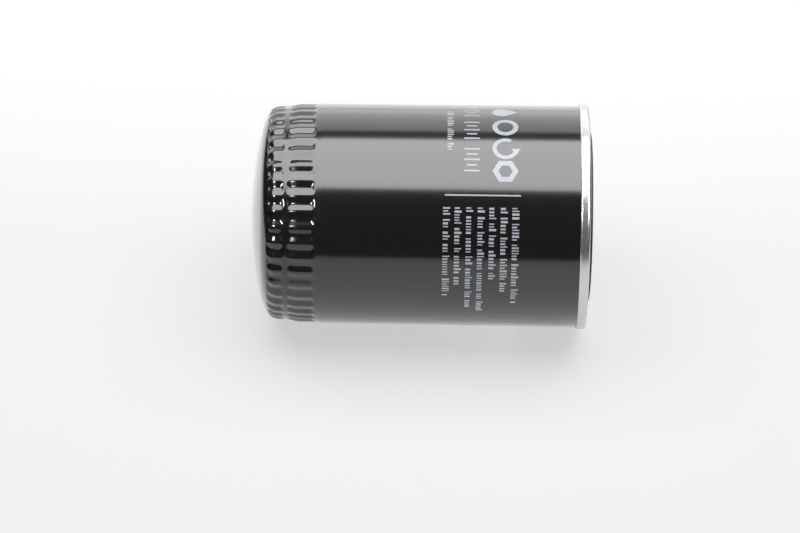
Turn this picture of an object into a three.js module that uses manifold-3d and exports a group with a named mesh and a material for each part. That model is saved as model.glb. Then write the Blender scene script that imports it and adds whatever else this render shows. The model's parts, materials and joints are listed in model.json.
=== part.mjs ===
// Spin-on engine oil filter, lying on its side. Millimetres, +Z up.
// The can's axis is X: the domed end faces -X, the threaded end with its gasket faces +X.
// The origin is on that axis, halfway between the crown of the dome and the gasket's face.

import * as THREE from 'three';
import { mergeVertices } from 'three/addons/utils/BufferGeometryUtils.js';
import Module from 'manifold-3d';

const wasm = await Module();
wasm.setup();

// ---------------------------------------------------------------- driving dimensions

const overallLength = 142;
const clearance = 0.3; // left between pieces that touch

// Can: a deep-drawn cup, drawn with a little draft
const canOpenRadius = 46.3;
const canDraft = 0.45; // how much narrower the can is at its flutes
const canSheet = 0.6;
const crownRadius = 150;
const cornerRadius = 6.5;
const shoulderDrop = 0.95; // how far the shoulder lies inside the fluted wall

// Wrench flutes: two rows pressed into the can, one on the shoulder and one on the wall
const fluteCount = 43;
const fluteDepth = 0.75;
const fluteCrestElevation = 40.9; // degrees above -Y at which one crest lies
const fluteRamp = 1.7; // length over which a flute runs out
const shoulderRowLength = 7.8;
const waistLength = 0.7; // plain band between the two rows
const wallRowLength = 12;

// Seam cover: pressed sheet that carries the gasket and is rolled over the can's edge
const coverSheet = 0.7;
const rimWidth = 3.95;
const rimSetback = 1.4; // rim face behind the gasket's face
const rimCornerCut = 0.5;
const plateauRecess = 1.6;
const grooveLipRecess = 1.3;
const grooveLipWidth = 1.2;
const compoundDepth = 1;

// Sealing gasket
const gasketInnerRadius = 31;
const gasketOuterRadius = 35.5;
const gasketThickness = 6;
const gasketEdgeCut = 0.4;

// Threaded base plate, with the bore at the minor diameter of a 3/4-16 UNF thread
const threadMinorRadius = 8.75;
const threadLeadIn = 1.1;
const hubWall = 4.25;
const hubLength = 10.6;
const hubStepWidth = 3.2;
const hubStepLength = 3.6;
const plateThickness = 3.5;
const inletCount = 8;
const inletRadius = 4;
const inletLand = 1.4; // left between the hub's step and the inlet holes

// Anti-drain valve: a rubber collar on the hub with a conical lip over the inlet holes
const collarWall = 2.3;
const collarLength = 7.4;
const valveFlange = 2.1;
const valveFlangeWidth = 2.2;
const lipThickness = 1.2;
const lipOverlap = 2.2;
const lipContact = 1;

// Filter element
const oilGap = 3.4; // annular space between the can's flutes and the element
const capSheet = 0.6;
const capRimLength = 4.5;
const capCollarLength = 4.4;
const pottingThickness = 2.5;
const tubeSheet = 0.5;
const tubeGap = 1;
const tubeHoleRadius = 2.6;
const tubeHoleRows = 6;
const tubeHolesPerRow = 6;
const tubePlainEnd = 12;
const pleatCount = 54;
const paperThickness = 0.5;
const foldWidth = 1.05;
const clipSheet = 0.5;
const clipDepth = 6;

// Bypass valve, inside the dome end of the centre tube
const valveSheet = 0.8;
const cageFlangeWidth = 2.5;
const cageLength = 20.5;
const cageHoleRadius = 3.5;
const cageWindows = 4;
const cageWindowWidth = 11;
const cageWindowLength = 14;
const plungerGap = 0.8;
const plungerSkirt = 2.6;
const plungerSkirtWall = 0.7;
const plungerBossRadius = 4.6;
const plungerBossHeight = 3.1;
const sealOverlap = 3.2;
const sealThickness = 1.4;
const sealInset = 2;
const nozzleLength = 3.6;
const capPortMargin = 1.2;
const bypassWire = 1.2;
const bypassCoilRadius = 7;
const bypassTurns = 5;

// Support spring between the dome and the element
const supportWire = 2.4;
const supportCoilRadius = 20;
const supportSpringHeight = 11.5;
const supportTurns = 3;

// Facets
const rimFacets = 64;
const plateFacets = 40;
const coreFacets = 28;
const springFacets = 6;
const springStepsPerTurn = 12;

// ---------------------------------------------------------------- derived positions

// Radii, from the thread outwards
const hubRadius = threadMinorRadius + hubWall;
const hubStepRadius = hubRadius + hubStepWidth;
const inletCircleRadius = hubStepRadius + inletLand + inletRadius;
const collarInnerRadius = hubRadius + clearance;
const collarRadius = collarInnerRadius + collarWall;
const capCollarRadius = collarRadius + clearance + capSheet / 2;
const tubeInnerRadius = capCollarRadius + capSheet / 2 + tubeGap;
const tubeRadius = tubeInnerRadius + tubeSheet;
const canFluteRadius = canOpenRadius - canDraft;
const elementRadius = canFluteRadius - fluteDepth - canSheet - oilGap;
const pottingInnerRadius = tubeRadius + clearance;
const pottingRadius = elementRadius - capSheet - clearance;
const mediaInnerRadius = pottingInnerRadius + paperThickness;
const mediaRadius = pottingRadius - clearance;

// Radii of the rolled rim, which closes round the can's edge
const rimRadius = canOpenRadius + clearance + coverSheet;
const rimLegRadius = canOpenRadius - canSheet - clearance - coverSheet;
const plateRadius = rimLegRadius - clearance;
const lipRadius = inletCircleRadius + inletRadius + lipOverlap;

// Stations along the axis, from the threaded end inwards
const gasketFaceX = overallLength / 2;
const rimFaceX = gasketFaceX - rimSetback;
const gasketBackX = gasketFaceX - gasketThickness;
const grooveFloorX = gasketBackX - clearance;
const plateFaceX = grooveFloorX - coverSheet - clearance;
const plateBackX = plateFaceX - plateThickness;
const hubEndX = plateBackX - hubLength;
const hubStepX = plateBackX - hubStepLength;
const compoundX = rimFaceX - coverSheet - clearance;
const canEdgeX = compoundX - compoundDepth - clearance;
const valveTopX = hubStepX - clearance;
const valveFlangeBackX = valveTopX - valveFlange;
const valveBackX = valveTopX - collarLength;
const threadCapX = valveFlangeBackX - clearance - capSheet / 2;
const threadPottingX = threadCapX - capSheet / 2 - clearance;
const mediaEndX = threadPottingX - pottingThickness - clearance;

// Stations along the axis, from the dome inwards
const crownX = -overallLength / 2;
const supportReach = supportCoilRadius + supportWire / 2;
const domeSeatX = crownX + crownRadius - Math.sqrt((crownRadius - canSheet) ** 2 - supportReach ** 2);
const supportStartX = domeSeatX + clearance;
const supportEndX = supportStartX + supportSpringHeight;
const domeCapX = supportEndX + clearance + capSheet / 2;
const domePottingX = domeCapX + capSheet / 2 + clearance;
const mediaStartX = domePottingX + pottingThickness + clearance;

// Bypass valve stations and radii, from the dome cap towards the thread
const seatX = domePottingX + valveSheet / 2;
const cageFlangeX = seatX + valveSheet + clearance;
const cageEndX = cageFlangeX + cageLength;
const nozzleEndX = domePottingX + nozzleLength + valveSheet / 2;
const sealX = nozzleEndX + clearance;
const plungerX = sealX + sealThickness + clearance;
const plungerFaceX = plungerX + valveSheet;
const valveFlangeRadius = tubeInnerRadius - 2 * clearance;
const cageRadius = valveFlangeRadius - cageFlangeWidth - valveSheet / 2;
const plungerRadius = cageRadius - valveSheet / 2 - plungerGap;
const portRadius = plungerRadius - sealOverlap;

// ---------------------------------------------------------------- shape helpers

const vector = (x, r) => new THREE.Vector2(r, x);

function signedArea(points) {
  return points.reduce((sum, [x, r], i) => {
    const [nextX, nextR] = points[(i + 1) % points.length];
    return sum + (r * nextX - nextR * x) / 2;
  }, 0);
}

// Turns an outline of [x, radius] points about the X axis. An outline that leaves the axis is closed.
function revolve(outline, facets, startAngle = 0) {
  const points = signedArea(outline) > 0 ? outline : [...outline].reverse();
  const onAxis = points[0][1] === 0 || points.at(-1)[1] === 0;
  const loop = onAxis ? points : [...points, points[0]];
  const geometry = new THREE.LatheGeometry(loop.map(([x, r]) => vector(x, r)), facets, startAngle);
  geometry.rotateZ(-Math.PI / 2);
  return geometry;
}

// The two sides of a strip of even thickness along a line of [a, b] points, with mitred corners.
function stripOutline(line, thickness) {
  const normals = line.slice(1).map(([a, b], i) => {
    const along = new THREE.Vector2(a - line[i][0], b - line[i][1]).normalize();
    return new THREE.Vector2(-along.y, along.x);
  });
  const offset = (i, side) => {
    const before = normals[Math.max(i - 1, 0)];
    const after = normals[Math.min(i, normals.length - 1)];
    const mitre = before.clone().add(after).normalize();
    const reach = (side * thickness) / 2 / mitre.dot(before);
    return [line[i][0] + mitre.x * reach, line[i][1] + mitre.y * reach];
  };
  const left = line.map((_, i) => offset(i, 1));
  const right = line.map((_, i) => offset(i, -1));
  return [...left, ...right.reverse()];
}

function sheetRing(line, thickness, facets) {
  return revolve(stripOutline(line, thickness), facets);
}

// Extrudes a closed outline of [y, z] points along X, from one station to another.
function extrudeAlongX(outline, fromX, toX) {
  const shape = new THREE.Shape(outline.map(([y, z]) => new THREE.Vector2(-z, y)));
  const geometry = new THREE.ExtrudeGeometry(shape, { depth: toX - fromX, bevelEnabled: false });
  geometry.rotateY(Math.PI / 2);
  geometry.translate(fromX, 0, 0);
  return geometry;
}

function toSolid(geometry) {
  const bare = geometry.clone();
  bare.deleteAttribute('normal');
  bare.deleteAttribute('uv');
  const merged = mergeVertices(bare, 1e-4);
  const indices = [];
  for (let i = 0; i < merged.index.count; i += 3) {
    const corners = [0, 1, 2].map((k) => merged.index.getX(i + k));
    if (new Set(corners).size === 3) indices.push(...corners);
  }
  return new wasm.Manifold(new wasm.Mesh({
    numProp: 3,
    vertProperties: new Float32Array(merged.attributes.position.array),
    triVerts: new Uint32Array(indices),
  }));
}

function fromSolid(solid) {
  const { vertProperties, triVerts } = solid.getMesh();
  const geometry = new THREE.BufferGeometry();
  geometry.setAttribute('position', new THREE.BufferAttribute(vertProperties, 3));
  geometry.setIndex(new THREE.BufferAttribute(triVerts, 1));
  geometry.computeVertexNormals();
  return geometry;
}

function cut(geometry, tools) {
  return fromSolid(tools.reduce((solid, tool) => solid.subtract(toSolid(tool)), toSolid(geometry)));
}

// A helix about X whose end turns lie almost closed, as on a compression spring.
class SpringPath extends THREE.Curve {
  constructor(fromX, toX, radius, turns, wire) {
    super();
    Object.assign(this, { fromX, toX, radius, turns, wire });
  }

  getPoint(t) {
    const endPitch = this.wire + clearance;
    const turn = t * this.turns;
    const openPitch = (this.toX - this.fromX - 2 * endPitch) / (this.turns - 2);
    const open = THREE.MathUtils.clamp(turn - 1, 0, this.turns - 2);
    const x = this.fromX + (turn - open) * endPitch + open * openPitch;
    const angle = turn * 2 * Math.PI;
    return new THREE.Vector3(x, this.radius * Math.cos(angle), this.radius * Math.sin(angle));
  }
}

function spring({ fromX, toX, radius, wire, turns }) {
  const path = new SpringPath(fromX + wire / 2, toX - wire / 2, radius, turns, wire);
  const section = new THREE.Shape(Array.from({ length: springFacets }, (_, i) => {
    const angle = (i * 2 * Math.PI) / springFacets;
    return new THREE.Vector2(Math.cos(angle), Math.sin(angle)).multiplyScalar(wire / 2);
  }));
  return new THREE.ExtrudeGeometry(section, { steps: turns * springStepsPerTurn, extrudePath: path });
}

// ---------------------------------------------------------------- can

// Stations of the crown, corner and shoulder for the outer skin, or inset for the inner skin.
const cornerCentreR = canFluteRadius - shoulderDrop - cornerRadius;
const cornerCentreX = crownX + crownRadius
  - Math.sqrt((crownRadius - cornerRadius) ** 2 - cornerCentreR ** 2);
const tangentAngle = Math.asin(cornerCentreR / (crownRadius - cornerRadius));
const shoulderRowStartX = cornerCentreX - cornerRadius * Math.cos(Math.PI / 4);
const shoulderRowEndX = shoulderRowStartX + shoulderRowLength;
const wallRowStartX = shoulderRowEndX + waistLength;
const wallRowEndX = wallRowStartX + wallRowLength;

function fluteDepthAt(x) {
  const rows = [[shoulderRowStartX, shoulderRowEndX], [wallRowStartX, wallRowEndX]];
  const shares = rows.map(([start, end]) => Math.min((x - start) / fluteRamp, (end - x) / fluteRamp));
  return fluteDepth * THREE.MathUtils.clamp(Math.max(...shares), 0, 1);
}

function canSkin(inset) {
  const arc = (centreX, centreR, radius, from, to, steps) => Array.from({ length: steps + 1 }, (_, i) => {
    const angle = from + ((to - from) * i) / steps;
    return [centreX - radius * Math.cos(angle), centreR + radius * Math.sin(angle)];
  });
  const crown = arc(crownX + crownRadius, 0, crownRadius - inset, 0, tangentAngle, 2);
  const corner = arc(cornerCentreX, cornerCentreR, cornerRadius - inset, tangentAngle, Math.PI / 2, 4);
  const shoulder = canFluteRadius - shoulderDrop - inset;
  const wall = canFluteRadius - inset;
  return [
    ...crown,
    ...corner.slice(1),
    [shoulderRowEndX - fluteRamp, shoulder],
    [shoulderRowEndX, shoulder],
    [wallRowStartX, shoulder + shoulderDrop / 6],
    [wallRowStartX + fluteRamp, wall],
    [wallRowEndX - fluteRamp, wall],
    [wallRowEndX, wall],
    [canEdgeX, canOpenRadius - inset],
  ];
}

function canGeometry() {
  const outline = [...canSkin(0), ...canSkin(canSheet).reverse()];
  outline[0][1] = 0;
  outline.at(-1)[1] = 0;
  const crestAngle = THREE.MathUtils.degToRad(90 - fluteCrestElevation);
  const geometry = revolve(outline, 2 * fluteCount, crestAngle);
  const position = geometry.attributes.position;
  for (let i = 0; i < position.count; i += 1) {
    const column = Math.floor(i / outline.length);
    const x = position.getX(i);
    const radius = Math.hypot(position.getY(i), position.getZ(i));
    if (column % 2 === 1 && radius > 0) {
      const share = 1 - fluteDepthAt(x) / radius;
      position.setXYZ(i, x, position.getY(i) * share, position.getZ(i) * share);
    }
  }
  return geometry;
}

// ---------------------------------------------------------------- threaded end

function seamCoverGeometry() {
  const half = coverSheet / 2;
  const rimX = rimFaceX - half;
  const rimR = rimRadius - half;
  const legR = rimLegRadius + half;
  const plateauX = rimFaceX - plateauRecess - half;
  const outerWallR = gasketOuterRadius + clearance + half;
  const innerWallR = gasketInnerRadius - clearance - half;
  const floorX = grooveFloorX - half;
  const lipX = rimFaceX - grooveLipRecess - half;
  return sheetRing([
    [rimFaceX - rimWidth, rimR],
    [rimX - rimCornerCut, rimR],
    [rimX, rimR - rimCornerCut],
    [rimX, legR],
    [plateauX, legR],
    [plateauX, outerWallR],
    [floorX, outerWallR],
    [floorX, innerWallR],
    [lipX, innerWallR],
    [lipX, innerWallR - grooveLipWidth],
  ], coverSheet, rimFacets);
}

function seamCompoundGeometry() {
  return revolve([
    [compoundX, canOpenRadius],
    [compoundX, canOpenRadius - canSheet],
    [compoundX - compoundDepth, canOpenRadius - canSheet],
    [compoundX - compoundDepth, canOpenRadius],
  ], rimFacets);
}

function gasketGeometry() {
  return revolve([
    [gasketBackX, gasketInnerRadius],
    [gasketBackX, gasketOuterRadius],
    [gasketFaceX - gasketEdgeCut, gasketOuterRadius],
    [gasketFaceX, gasketOuterRadius - gasketEdgeCut],
    [gasketFaceX, gasketInnerRadius + gasketEdgeCut],
    [gasketFaceX - gasketEdgeCut, gasketInnerRadius],
  ], plateFacets);
}

function basePlateGeometry() {
  const disc = revolve([
    [plateFaceX, threadMinorRadius + threadLeadIn],
    [plateFaceX, plateRadius],
    [plateBackX, plateRadius],
    [plateBackX, hubStepRadius],
    [hubStepX, hubStepRadius],
    [hubStepX, hubRadius],
    [hubEndX, hubRadius],
    [hubEndX, threadMinorRadius + threadLeadIn],
    [hubEndX + threadLeadIn, threadMinorRadius],
    [plateFaceX - threadLeadIn, threadMinorRadius],
  ], plateFacets);
  const inlets = Array.from({ length: inletCount }, (_, i) => {
    const angle = (i * 2 * Math.PI) / inletCount;
    const drill = new THREE.CylinderGeometry(inletRadius, inletRadius, 3 * plateThickness, 12);
    drill.rotateZ(Math.PI / 2);
    drill.translate(
      (plateFaceX + plateBackX) / 2,
      inletCircleRadius * Math.sin(angle),
      inletCircleRadius * Math.cos(angle),
    );
    return drill;
  });
  return cut(disc, inlets);
}

function antiDrainValveGeometry() {
  const flangeRadius = collarRadius + valveFlangeWidth;
  const lipTopX = plateBackX - clearance;
  return revolve([
    [valveBackX, collarInnerRadius],
    [valveTopX, collarInnerRadius],
    [valveTopX, flangeRadius - lipThickness],
    [lipTopX, lipRadius - lipContact],
    [lipTopX, lipRadius],
    [lipTopX - lipThickness, lipRadius],
    [valveFlangeBackX + lipThickness, flangeRadius],
    [valveFlangeBackX, flangeRadius],
    [valveFlangeBackX, collarRadius],
    [valveBackX, collarRadius],
  ], plateFacets);
}

// ---------------------------------------------------------------- filter element

function threadEndCapGeometry() {
  const rimR = elementRadius - capSheet / 2;
  return sheetRing([
    [threadCapX - capRimLength, rimR],
    [threadCapX, rimR],
    [threadCapX, capCollarRadius],
    [threadCapX - capCollarLength, capCollarRadius],
  ], capSheet, plateFacets);
}

function domeEndCapGeometry() {
  const rimR = elementRadius - capSheet / 2;
  return sheetRing([
    [domeCapX + capRimLength, rimR],
    [domeCapX, rimR],
    [domeCapX, portRadius + capPortMargin],
  ], capSheet, plateFacets);
}

function pottingGeometry(fromX) {
  return revolve([
    [fromX, pottingInnerRadius],
    [fromX, pottingRadius],
    [fromX + pottingThickness, pottingRadius],
    [fromX + pottingThickness, pottingInnerRadius],
  ], plateFacets);
}

function centreTubeGeometry() {
  const fromX = domePottingX;
  const toX = threadPottingX;
  const tube = sheetRing([
    [fromX, tubeRadius - tubeSheet / 2],
    [toX, tubeRadius - tubeSheet / 2],
  ], tubeSheet, coreFacets);
  const firstRowX = cageEndX + tubePlainEnd / 2;
  const rowPitch = (toX - tubePlainEnd - firstRowX) / (tubeHoleRows - 1);
  const punches = [];
  for (let row = 0; row < tubeHoleRows; row += 1) {
    for (let hole = 0; hole < tubeHolesPerRow; hole += 1) {
      const angle = ((hole + (row % 2) / 2) * 2 * Math.PI) / tubeHolesPerRow;
      const punch = new THREE.CylinderGeometry(tubeHoleRadius, tubeHoleRadius, tubeRadius, 6);
      punch.translate(0, tubeRadius, 0);
      punch.rotateX(angle);
      punch.translate(firstRowX + row * rowPitch, 0, 0);
      punches.push(punch);
    }
  }
  return cut(tube, punches);
}

// The paper's path across the axis: out and back once for each pleat, with free ends at the seam.
function pleatPath() {
  const pitch = (2 * Math.PI) / pleatCount;
  const at = (radius, angle, sideways) => [
    radius * Math.sin(angle) + sideways * Math.cos(angle),
    radius * Math.cos(angle) - sideways * Math.sin(angle),
  ];
  const path = [at(mediaRadius - clipSheet - clearance, 0, foldWidth / 2)];
  for (let pleat = 1; pleat <= pleatCount; pleat += 1) {
    const valley = (pleat - 0.5) * pitch;
    path.push(at(mediaInnerRadius, valley, -foldWidth / 2));
    path.push(at(mediaInnerRadius, valley, foldWidth / 2));
    if (pleat < pleatCount) {
      path.push(at(mediaRadius - paperThickness / 2, pleat * pitch, -foldWidth / 2));
      path.push(at(mediaRadius - paperThickness / 2, pleat * pitch, foldWidth / 2));
    }
  }
  path.push(at(mediaRadius - clipSheet - clearance, 0, -foldWidth / 2));
  return path;
}

function mediaGeometry() {
  return extrudeAlongX(stripOutline(pleatPath(), paperThickness), mediaStartX, mediaEndX);
}

function seamClipGeometry() {
  const halfWidth = (foldWidth + paperThickness + clipSheet) / 2 + clearance;
  const topZ = mediaRadius - clipSheet / 2;
  const line = [
    [-halfWidth, topZ - clipDepth],
    [-halfWidth, topZ],
    [halfWidth, topZ],
    [halfWidth, topZ - clipDepth],
  ];
  return extrudeAlongX(stripOutline(line, clipSheet), mediaStartX, mediaEndX);
}

// ---------------------------------------------------------------- bypass valve

function bypassSeatGeometry() {
  const nozzleR = portRadius + valveSheet / 2;
  return sheetRing([
    [seatX, valveFlangeRadius],
    [seatX, nozzleR],
    [nozzleEndX, nozzleR],
  ], valveSheet, coreFacets);
}

function bypassSealGeometry() {
  return revolve([
    [sealX, portRadius - sealInset],
    [sealX, plungerRadius - plungerSkirtWall],
    [sealX + sealThickness, plungerRadius - plungerSkirtWall],
    [sealX + sealThickness, portRadius - sealInset],
  ], coreFacets);
}

function bypassDiscGeometry() {
  return revolve([
    [plungerX, 0],
    [plungerX, plungerRadius],
    [plungerFaceX + plungerSkirt, plungerRadius],
    [plungerFaceX + plungerSkirt, plungerRadius - plungerSkirtWall],
    [plungerFaceX, plungerRadius - plungerSkirtWall],
    [plungerFaceX, plungerBossRadius],
    [plungerFaceX + plungerBossHeight, plungerBossRadius],
    [plungerFaceX + plungerBossHeight, 0],
  ], coreFacets);
}

function bypassCageGeometry() {
  const cage = sheetRing([
    [cageFlangeX, valveFlangeRadius],
    [cageFlangeX, cageRadius],
    [cageEndX, cageRadius],
    [cageEndX, cageHoleRadius],
  ], valveSheet, coreFacets);
  const windows = Array.from({ length: cageWindows }, (_, i) => {
    const window = new THREE.BoxGeometry(cageWindowLength, cageRadius, cageWindowWidth);
    window.translate(0, cageRadius, 0);
    window.rotateX((i * 2 * Math.PI) / cageWindows + Math.PI / cageWindows);
    window.translate(cageFlangeX + valveSheet + cageWindowLength / 2, 0, 0);
    return window;
  });
  return cut(cage, windows);
}

// ---------------------------------------------------------------- assembly

const blackLacquer = new THREE.MeshStandardMaterial({ color: 0x141213, roughness: 0.12, metalness: 0 });
const platedSteel = new THREE.MeshStandardMaterial({ color: 0xd6d6d4, roughness: 0.3, metalness: 1 });
const plainSteel = new THREE.MeshStandardMaterial({ color: 0x8d8f92, roughness: 0.45, metalness: 1 });
const springSteel = new THREE.MeshStandardMaterial({ color: 0x6c6e72, roughness: 0.35, metalness: 1 });
const blackRubber = new THREE.MeshStandardMaterial({ color: 0x1a1a1a, roughness: 0.6, metalness: 0 });
const valveRubber = new THREE.MeshStandardMaterial({ color: 0xb5532a, roughness: 0.55, metalness: 0 });
const filterPaper = new THREE.MeshStandardMaterial({ color: 0xd9c68a, roughness: 0.9, metalness: 0 });
const compound = new THREE.MeshStandardMaterial({ color: 0xb9b3a4, roughness: 0.7, metalness: 0 });

const filter = new THREE.Group();

function place(name, geometry, material) {
  const mesh = new THREE.Mesh(geometry, material);
  mesh.name = name;
  filter.add(mesh);
}

place('can', canGeometry(), blackLacquer);
place('seam_cover', seamCoverGeometry(), platedSteel);
place('seam_compound', seamCompoundGeometry(), compound);
place('sealing_gasket', gasketGeometry(), blackRubber);
place('base_plate', basePlateGeometry(), plainSteel);
place('anti_drain_valve', antiDrainValveGeometry(), valveRubber);

place('thread_end_cap', threadEndCapGeometry(), plainSteel);
place('thread_end_potting', pottingGeometry(threadPottingX - pottingThickness), compound);
place('pleated_media', mediaGeometry(), filterPaper);
place('pleat_seam_clip', seamClipGeometry(), plainSteel);
place('centre_tube', centreTubeGeometry(), plainSteel);
place('dome_end_potting', pottingGeometry(domePottingX), compound);
place('dome_end_cap', domeEndCapGeometry(), plainSteel);

place('bypass_seat', bypassSeatGeometry(), plainSteel);
place('bypass_seal', bypassSealGeometry(), blackRubber);
place('bypass_disc', bypassDiscGeometry(), plainSteel);
place('bypass_cage', bypassCageGeometry(), plainSteel);
place('bypass_spring', spring({
  fromX: plungerFaceX + clearance,
  toX: cageEndX - valveSheet / 2 - clearance,
  radius: bypassCoilRadius,
  wire: bypassWire,
  turns: bypassTurns,
}), springSteel);
place('element_spring', spring({
  fromX: supportStartX,
  toX: supportEndX,
  radius: supportCoilRadius,
  wire: supportWire,
  turns: supportTurns,
}), springSteel);

export default filter;
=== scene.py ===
"""A spin-on engine oil filter lying on a pale table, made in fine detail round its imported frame.

The can's axis is X: the domed end faces -X, the threaded end with its gasket faces +X. Outlines are
lists of (station along X, radius) in millimetres, and meshes are in metres.
"""

import json
import logging
import math
import random
from dataclasses import dataclass, field
from enum import Enum
from typing import Callable, Iterable, Sequence

import bpy
from mathutils import Matrix, Vector

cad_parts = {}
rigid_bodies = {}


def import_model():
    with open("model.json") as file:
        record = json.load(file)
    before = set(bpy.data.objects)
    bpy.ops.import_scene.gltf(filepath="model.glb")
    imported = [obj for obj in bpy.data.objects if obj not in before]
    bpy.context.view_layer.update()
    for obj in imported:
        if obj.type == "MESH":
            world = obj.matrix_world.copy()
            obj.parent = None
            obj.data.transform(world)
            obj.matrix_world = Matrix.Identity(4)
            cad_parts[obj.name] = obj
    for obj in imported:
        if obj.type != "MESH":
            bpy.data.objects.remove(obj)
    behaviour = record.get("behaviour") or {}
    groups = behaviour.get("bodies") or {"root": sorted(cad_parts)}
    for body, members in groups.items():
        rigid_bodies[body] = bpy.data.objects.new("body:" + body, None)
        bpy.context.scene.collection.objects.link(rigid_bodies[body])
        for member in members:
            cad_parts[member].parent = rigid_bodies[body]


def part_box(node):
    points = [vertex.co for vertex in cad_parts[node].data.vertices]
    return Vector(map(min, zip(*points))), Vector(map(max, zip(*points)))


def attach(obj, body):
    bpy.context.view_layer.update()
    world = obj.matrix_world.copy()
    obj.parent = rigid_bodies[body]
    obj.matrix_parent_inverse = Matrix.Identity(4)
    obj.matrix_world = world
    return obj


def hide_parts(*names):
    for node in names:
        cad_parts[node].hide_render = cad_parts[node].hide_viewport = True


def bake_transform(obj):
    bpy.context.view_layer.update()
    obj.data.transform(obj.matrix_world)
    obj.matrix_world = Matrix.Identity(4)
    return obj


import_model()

MM = 0.001
FULL_TURN = 2 * math.pi
MERGE_DISTANCE = 2e-6
STEPS_ROUND = 160
STEPS_SMALL = 96
RIM_WIDTH = 3.95  # millimetres along the axis
LONGEST_FILLET = 0.49  # share of a side that one fillet may take
SHARP_EDGE = 60.0  # degrees from which an edge of sheet metal is bevelled
WORN_EDGE = 0.22  # width of that bevel, as a share of the sheet

Pair = tuple[float, float]
Triple = tuple[float, float, float]
Outline = list[Pair]
Piece = bpy.types.Object
Socket = bpy.types.NodeSocket

log = logging.getLogger("oil_filter")


class Body(str, Enum):
    """The frame's bodies that pieces ride on."""

    SHELL = "shell"
    LIP = "drain_valve_lip"
    ELEMENT = "element"
    PLUNGER = "bypass_plunger"


class Slot(str, Enum):
    """The record's material slots."""

    LACQUER = "black_lacquer"
    PLATED = "plated_steel"
    COMPOUND = "sealing_compound"
    GASKET = "gasket_rubber"
    PLATE = "plate_steel"
    VALVE = "valve_rubber"
    CAP = "cap_steel"
    TUBE = "tube_steel"
    SPRING = "spring_steel"
    PAPER = "filter_paper"
    POTTING = "potting"


# ---------------------------------------------------------------- reading the frame


@dataclass(frozen=True)
class Reach:
    """How far one node of the frame reaches, in millimetres."""

    start: float
    end: float
    radius: float

    @classmethod
    def of(cls, node: str) -> "Reach":
        """Measures a node.

        Args:
            node: the node's name in the frame.

        Returns:
            Its two stations along X and its largest distance from the axis along Y or Z.
        """
        low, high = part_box(node)
        radius = max(-low[1], high[1], -low[2], high[2])
        return cls(low[0] / MM, high[0] / MM, radius / MM)


# ---------------------------------------------------------------- outlines


def arc(centre: Pair, radius: float, start: float, end: float, steps: int) -> Outline:
    """Samples an arc.

    Args:
        centre: station and radius of its centre.
        radius: its own radius.
        start: first angle in degrees, from -X towards the rim of the part.
        end: last angle in degrees.
        steps: number of equal steps.

    Returns:
        The points from start to end.
    """
    points = []
    for i in range(steps + 1):
        angle = math.radians(start + (end - start) * i / steps)
        points.append((centre[0] - radius * math.cos(angle), centre[1] + radius * math.sin(angle)))
    return points


def line(start: Pair, end: Pair, steps: int) -> Outline:
    """Samples a straight stretch, its first point left out.

    Args:
        start: where it begins.
        end: where it ends.
        steps: number of equal steps.

    Returns:
        The points after start, up to end.
    """
    return [
        (start[0] + (end[0] - start[0]) * i / steps, start[1] + (end[1] - start[1]) * i / steps)
        for i in range(1, steps + 1)
    ]


def rounded(corners: Sequence[Triple], closed: bool = True, steps: int = 4) -> Outline:
    """Rounds the corners of an outline.

    Args:
        corners: station, radius and fillet of each corner.
        closed: whether the last corner joins the first.
        steps: number of steps in each fillet.

    Returns:
        The outline's points with an arc at each corner that has a fillet.
    """
    points: Outline = []
    count = len(corners)
    for i, (x, r, fillet) in enumerate(corners):
        here = Vector((x, r))
        if fillet <= 0 or (not closed and i in (0, count - 1)):
            points.append((x, r))
            continue
        before = Vector(corners[i - 1][:2]) - here
        after = Vector(corners[(i + 1) % count][:2]) - here
        half = before.angle(after) / 2
        reach = min(fillet / math.tan(half), LONGEST_FILLET * before.length,
                    LONGEST_FILLET * after.length)
        start, end = here + before.normalized() * reach, here + after.normalized() * reach
        for k in range(steps + 1):
            share = k / steps
            point = start * (1 - share) ** 2 + here * (2 * share * (1 - share)) + end * share**2
            points.append((point.x, point.y))
    return points


# ---------------------------------------------------------------- modelling by hand


def deselect_all() -> None:
    """Leaves edit mode and clears the selection."""
    if bpy.context.object and bpy.context.object.mode == "EDIT":
        leave_edit()
    bpy.ops.object.select_all(action="DESELECT")


def pick(piece: Piece) -> None:
    """Makes a piece the only one selected, and the active one."""
    deselect_all()
    piece.select_set(True)
    bpy.context.view_layer.objects.active = piece


def edit(piece: Piece) -> None:
    """Opens a piece in edit mode with all of it selected."""
    pick(piece)
    bpy.ops.object.mode_set(mode="EDIT")
    bpy.ops.mesh.select_all(action="SELECT")


def leave_edit() -> None:
    """Leaves edit mode."""
    bpy.ops.object.mode_set(mode="OBJECT")


def close_up() -> None:
    """Merges doubles in the open piece, turns its faces outwards and leaves edit mode."""
    bpy.ops.mesh.select_all(action="SELECT")
    bpy.ops.mesh.remove_doubles(threshold=MERGE_DISTANCE)
    bpy.ops.mesh.normals_make_consistent(inside=False)
    leave_edit()


def spin(steps: int, angle: float = FULL_TURN, copies: bool = False) -> None:
    """Spins what is selected about the X axis, as a surface or as separate copies."""
    bpy.ops.mesh.spin(steps=steps, dupli=copies, angle=angle, center=(0, 0, 0), axis=(1, 0, 0))


def extrude(by: Vector | Triple) -> None:
    """Extrudes what is selected, by a step in metres."""
    bpy.ops.mesh.extrude_region_move(TRANSFORM_OT_translate={"value": by})


def apply_modifier(piece: Piece, kind: str, **settings: object) -> None:
    """Adds a modifier to a piece and applies it.

    Args:
        piece: the piece.
        kind: the modifier's type.
        settings: values of the modifier's own properties.
    """
    pick(piece)
    modifier = piece.modifiers.new(kind.title(), kind)
    for name, value in settings.items():
        setattr(modifier, name, value)
    bpy.ops.object.modifier_apply(modifier=modifier.name)


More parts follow.
